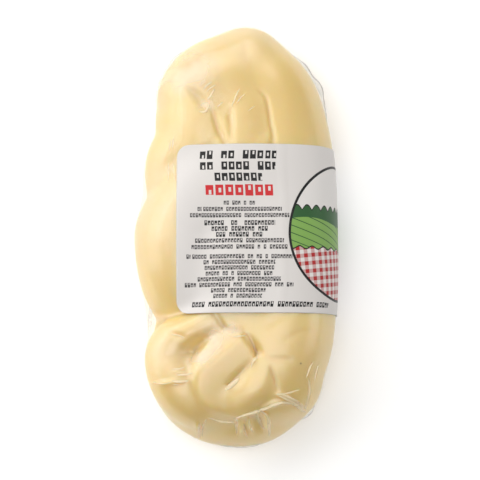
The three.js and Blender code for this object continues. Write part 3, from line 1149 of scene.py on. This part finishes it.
gap_tree = make_gap_tree()
for thing, other in ((film, curd), (curd, film)):
    run_tree(thing, gap_tree, {"Other": other, "Material": thing.data.materials[0]})
    gaps = np.zeros(len(thing.data.vertices), dtype=np.float32)
    thing.data.attributes["stand_off"].data.foreach_get("value", gaps)
    low_gap, usual, wide, widest = np.percentile(gaps, (0, 50, 95, 100)) / MM
    print(thing.name, "gap in mm:", round(low_gap, 2), round(usual, 2), round(wide, 2), round(widest, 2))

# %% [markdown]
# ## Folds and edges of the film
#
# Where the film has slack it gathers in fine folds, and at its trimmed edge it stands off the curd
# as a clear flange. Both are lines with a thin section, so one tree makes them from a mesh of bare
# edges. Each line carries how many copies it gets, how far apart they lie, and its girth. The copies
# are shifted sideways, bent smooth, made a little wavy, and swept with a round or a flat section
# that tapers out at both ends. Folds are also dropped onto the film below them.

# %% Copies of a line
MOST_COPIES = 16  # of one line, so that every copy of every line draws its own chances
ASIDE = 0.35  # of the spacing, how far a copy may lie off its place sideways
ALONG = 0.7  # and lengthwise


def chance(nodes, low, high, number, seed):
    inputs = {2: low, 3: high, "ID": number, "Seed": seed}
    return nodes.add("FunctionNodeRandomValue", {"data_type": "FLOAT"}, inputs, 1)


def copied_lines(nodes, given):
    """Each line as its own few copies side by side, and a number for every copy."""
    lines = nodes.add("GeometryNodeMeshToCurve", {}, {0: given})
    several = nodes.add("GeometryNodeDuplicateElements", {"domain": "SPLINE"}, {
        "Geometry": lines, "Amount": nodes.stored("copies", "INT"),
    })
    number = several.out("Duplicate Index")
    own = number + nodes.stored("line", "INT") * MOST_COPIES
    seed = given.out("Seed")
    along = nodes.add("GeometryNodeInputTangent")
    side = nodes.vector("NORMALIZE", nodes.vector("CROSS_PRODUCT", along, (0, 0, 1)))
    place = number - (nodes.stored("copies") - 1) * 0.5 + chance(nodes, -ASIDE, ASIDE, own, seed)
    splay = nodes.add("GeometryNodeSplineParameter") * given.out("Splay") + 1
    spacing = nodes.stored("spacing")
    across = nodes.times(side, place * splay * spacing)
    slip = nodes.times(along, chance(nodes, -ALONG, ALONG, own, seed + 7) * spacing)
    offset = nodes.vector("ADD", across, slip)
    return nodes.add("GeometryNodeSetPosition", {}, {"Geometry": several, "Offset": offset}), own


# %% The tree for folds and edges
DROP_FROM = 80 * MM
LINE_STEP = 0.4 * MM
LINE_SIDES = 8
THINNEST, THICKEST = 0.6, 1.15  # of its given girth, how thick a line may turn out


def make_line_tree():
    nodes = shape_tree("film_lines", {
        "Film": ("NodeSocketObject", None),
        "Lay On Film": ("NodeSocketBool", True),
        "Flatness": ("NodeSocketFloat", 1.0),
        "Splay": ("NodeSocketFloat", 0.0),
        "Wave": ("NodeSocketFloat", 0.0),
        "Wave Scale": ("NodeSocketFloat", 150.0),
        "Seed": ("NodeSocketInt", 0),
        "Material": ("NodeSocketMaterial", None),
    })
    given = nodes.add("NodeGroupInput")
    lines, own = copied_lines(nodes, given)
    smooth = nodes.add("GeometryNodeCurveSplineType", {"spline_type": "CATMULL_ROM"}, {0: lines})
    close = nodes.add("GeometryNodeResampleCurve", {"mode": "LENGTH"}, {
        "Curve": smooth, "Length": LINE_STEP,
    })
    position = nodes.add("GeometryNodeInputPosition")
    noise = nodes.noise(position, given.out("Wave Scale"), 1.0, "Color")
    sway = nodes.vector("SUBTRACT", noise, (0.5, 0.5, 0.5))
    wavy = nodes.add("GeometryNodeSetPosition", {}, {
        "Geometry": close, "Offset": nodes.times(sway, given.out("Wave")),
    })
    film_below = nodes.add("GeometryNodeObjectInfo", {}, {"Object": given.out("Film")}, "Geometry")
    above = nodes.vector("MULTIPLY_ADD", position, (1, 1, 0), (0, 0, DROP_FROM))
    ray = nodes.add("GeometryNodeRaycast", {}, {
        "Target Geometry": film_below, "Source Position": above, "Ray Length": DROP_FROM,
    })
    lay = nodes.add("FunctionNodeBooleanMath", {"operation": "AND"}, {
        0: given.out("Lay On Film"), 1: ray,
    })
    laid = nodes.add("GeometryNodeSetPosition", {}, {
        "Geometry": wavy, "Selection": lay, "Position": ray.out("Hit Position"),
    })
    level = nodes.add("GeometryNodeSetCurveNormal", {"mode": "Z_UP"}, {0: laid})

    share = nodes.add("GeometryNodeSplineParameter")
    taper = (share * (1 - share) * 4 + 0.0004) ** 0.6  # 1 half way, almost nothing at the ends
    weight = chance(nodes, THINNEST, THICKEST, own, given.out("Seed") + 3)
    ring = nodes.add("GeometryNodeCurvePrimitiveCircle", {}, {
        "Resolution": LINE_SIDES, "Radius": 1.0,
    })
    section = nodes.add("GeometryNodeTransform", {}, {
        "Geometry": ring,
        "Scale": nodes.add("ShaderNodeCombineXYZ", {}, {"X": 1.0, "Y": given.out("Flatness")}),
    })
    swept = nodes.add("GeometryNodeCurveToMesh", {}, {
        "Curve": level,
        "Profile Curve": section,
        "Scale": nodes.stored("girth") * taper * weight,
        "Fill Caps": True,
    })
    return close_tree(nodes, swept, given.out("Material"))


line_tree = make_line_tree()
print("line tree", len(line_tree.nodes), "nodes")

# %% Bare lines for it
def bare_lines(name, lines, height):
    """A mesh of edges. Each line is (girth, points), or (girth, points, copies, spacing)."""
    points = []
    edges = []
    rows = []
    for number, (girth, path, *several) in enumerate(lines):
        copies, spacing = several or (1, 0)
        first = len(points)
        points += [(x * MM, y * MM, height * MM) for x, y in path]
        edges += [(here, here + 1) for here in range(first, len(points) - 1)]
        rows += [(number, copies, spacing * MM, girth * MM)] * len(path)
    mesh = bpy.data.meshes.new(name)
    mesh.from_pydata(points, edges, [])
    kinds = {"line": "INT", "copies": "INT", "spacing": "FLOAT", "girth": "FLOAT"}
    for (label, kind), column in zip(kinds.items(), zip(*rows)):
        attribute = mesh.attributes.new(label, kind, "POINT")
        attribute.data.foreach_set("value", column)
    return new_object(name, mesh)


# %% Lay the folds
FOLD_HEIGHT = 40  # before they drop onto the film
EDGE_HEIGHT = 18.5  # where the loaf is widest
FOLDS = [
    # in millimetres: girth, line, and where there are copies, how many and how far apart
    (0.4, [(-16.4, 61.8), (-14.7, 63.2), (-13, 64.2)], 2, 1.2),
    (0.45, [(-13.9, 59.3), (-12.2, 61.2), (-10, 62.7)], 2, 1.2),
    (0.6, [(-13, 55.9), (-11, 58), (-9.6, 60.7)]),
    (0.7, [(-16.5, 51), (-13.5, 51), (-11.8, 54)]),
    (0.35, [(-8.6, 52.4), (-6.1, 54.8)]),
    (0.45, [(-2.3, 52.8), (-0.8, 57), (1.2, 60.8)]),
    (0.45, [(-0.3, 54.3), (1.4, 56.8), (3.6, 58.6)]),
    (0.35, [(4.6, 50.7), (7.5, 53.3)]),
    (0.5, [(-27.6, 40), (-28.2, 35)], 2, 1.1),
    (0.45, [(-28.7, 29.7), (-28.6, 21.6)], 2, 1.5),
    (0.5, [(-28.3, -44.5), (-25, -45), (-22.4, -46.3)]),
    (0.5, [(-27, -60.6), (-24, -60.6), (-20.6, -59.8)], 2, 1.8),
    (0.7, [(-28, -64.6), (-24, -64.6), (-20.5, -64.2)]),
    (0.45, [(-27.3, -66), (-24.4, -66)]),
    (0.45, [(-37, -64.6), (-32, -65.6), (-27.3, -64.9)]),
    (0.9, [(-16.3, -82.1), (-16.5, -88.8)]),
    (0.8, [(-13, -80.6), (-14.6, -83), (-15.2, -88)]),
    (0.6, [(-12.9, -80), (-7, -81.4), (-1.3, -81.7)]),
    (0.7, [(3, -80.8), (3.2, -84), (4.2, -87)], 3, 2.6),
    (0.8, [(8.4, -78.6), (10, -82), (11.6, -84.6)]),
    (1.0, [(10.3, -76.9), (12.8, -79.3), (13.6, -83), (13.9, -87.4)]),
    (0.7, [(-1.3, -80.3), (4.5, -78.4), (10.3, -76.5), (19, -73.6), (25.8, -74.5)]),
    (0.6, [(16.1, -70.3), (21, -69.6), (26.7, -67.8)]),
    (0.8, [(16.1, -69.8), (22, -72), (28.9, -76.3)], 2, 2.0),
    (0.45, [(33.8, -56.6), (32.4, -59.6), (31.2, -63.4)], 2, 1.8),
    (0.7, [(30.1, -62.7), (31, -68.3), (29.3, -76)]),
    (0.6, [(6, -58.9), (6.4, -57), (7.4, -55.4), (8.8, -54.1)]),
    (1.7, [(-5.2, -68.6), (-2.4, -66), (1, -63)]),
    (0.6, [(-2, -45.8), (1, -45.6), (4, -45)]),
]
EDGES = [
    (2.5, [
        (13, 87), (18, 83.2), (23.6, 78.6), (28.2, 74.5), (31.6, 69), (34.8, 65.5), (36.2, 60),
        (38.2, 52), (39.6, 46),
    ]),
    (1.8, [(-17.6, 82.6), (-22.6, 80.6), (-27, 77.6), (-29, 73), (-30.6, 68)]),
    (0.9, [(-37, -24), (-38, -34), (-38, -42)]),
    (1.5, [(-10.6, -90.2), (-4.6, -91.1), (1.4, -91.6), (7.4, -91.0), (12.4, -89.4)]),
    (1.4, [(27.4, -80), (31.4, -77), (33.4, -73)]),
]

folds = run_tree(bare_lines("film_folds", FOLDS, FOLD_HEIGHT), line_tree, {
    "Film": film,
    "Lay On Film": True,
    "Flatness": 0.36,
    "Splay": 0.3,
    "Wave": 0.8 * MM,
    "Seed": 4,
    "Material": film_finish(
        "folded_film", (0.95, 0.8, 0.5, 1), cloud_in_folds, sheen=0.02, rim=0.0,
    ),
})
edges = run_tree(bare_lines("film_edges", EDGES, EDGE_HEIGHT), line_tree, {
    "Film": film,
    "Lay On Film": False,
    "Flatness": 0.07,
    "Wave": 1.5 * MM,
    "Seed": 9,
    "Material": film_finish(
        "film_edge", (0.55, 0.55, 0.53, 1), cloud_at_edges, sheen=0.06, rim=0.3,
    ),
})
print("folds", len(folds.data.polygons), "faces, edges", len(edges.data.polygons), "faces")

# %% [markdown]
# ## Table and light
#
# The table is plain white and glows a little, like a light table, which keeps the shadow short and
# pale. The loaf is lit by a ring of softboxes. The strongest one stands at the left, low enough to
# be mirrored in the film's left slopes, and a weak one at the right lifts the shaded side. A broad
# one overhead stands a little towards the near end and fills the creases. The room itself is almost
# dark.

# %% Table and light
TABLE_GLOW = 0.16
ROOM_LIGHT = 0.01
SOFTBOXES = [
    # name, place, (width, height), watts
    ("left", (-1.075, 0.288, 0.46), (1.4, 0.85), 7.8),
    ("upper_left", (-0.63, 0.44, 0.95), (1.2, 0.8), 5.6),
    ("far_end", (0, 1.04, 0.63), (0.9, 0.9), 5.6),
    ("right", (1.09, 0, 0.53), (0.7, 0.7), 3.2),
    ("near_end", (-0.2, -0.74, 0.95), (0.8, 0.8), 1.3),
    ("overhead", (0.04, -0.24, 1.2), (0.9, 0.9), 6.3),
]

floor = mesh_object("floor", [(-3, -3, 0), (3, -3, 0), (3, 3, 0), (-3, 3, 0)], [(0, 1, 2, 3)])
floor_finish, nodes = new_finish("floor")
floor_shader = nodes.add("ShaderNodeBsdfPrincipled", {}, {
    "Base Color": (0.97, 0.97, 0.97, 1),
    "Roughness": 0.9,
    "Specular IOR Level": 0.0,
    "Emission Color": (1, 1, 1, 1),
    "Emission Strength": TABLE_GLOW,
})
floor.data.materials.append(close_finish(floor_finish, nodes, floor_shader))

world = bpy.data.worlds.new("studio")
bpy.context.scene.world = world
world.use_nodes = True
background = world.node_tree.nodes["Background"]
background.inputs["Color"].default_value = (1, 1, 1, 1)
background.inputs["Strength"].default_value = ROOM_LIGHT


def softbox(name, place, size, power):
    lamp = bpy.data.lights.new(name, "AREA")
    lamp.shape = "RECTANGLE"
    lamp.size, lamp.size_y = size
    lamp.energy = power
    thing = new_object(name, lamp)
    thing.location = place
    thing.rotation_euler = (Vector(place) - AIM).to_track_quat("Z", "Y").to_euler()


for box in SOFTBOXES:
    softbox(*box)
print(len(SOFTBOXES), "softboxes")
bpy.context.scene.view_settings.view_transform = "Standard"

# %% [markdown]
# ## Riding the frame
#
# The part has one body, and every piece rides on it. Curd, film, folds and edges together stand for
# the frame's solid of the sealed braid, and the paper for its plain label.

# %% Ride the frame
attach(curd, "root")
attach(film, "root")
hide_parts("sealed_braid")
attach(folds, "root")
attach(edges, "root")
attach(label, "root")
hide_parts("label")
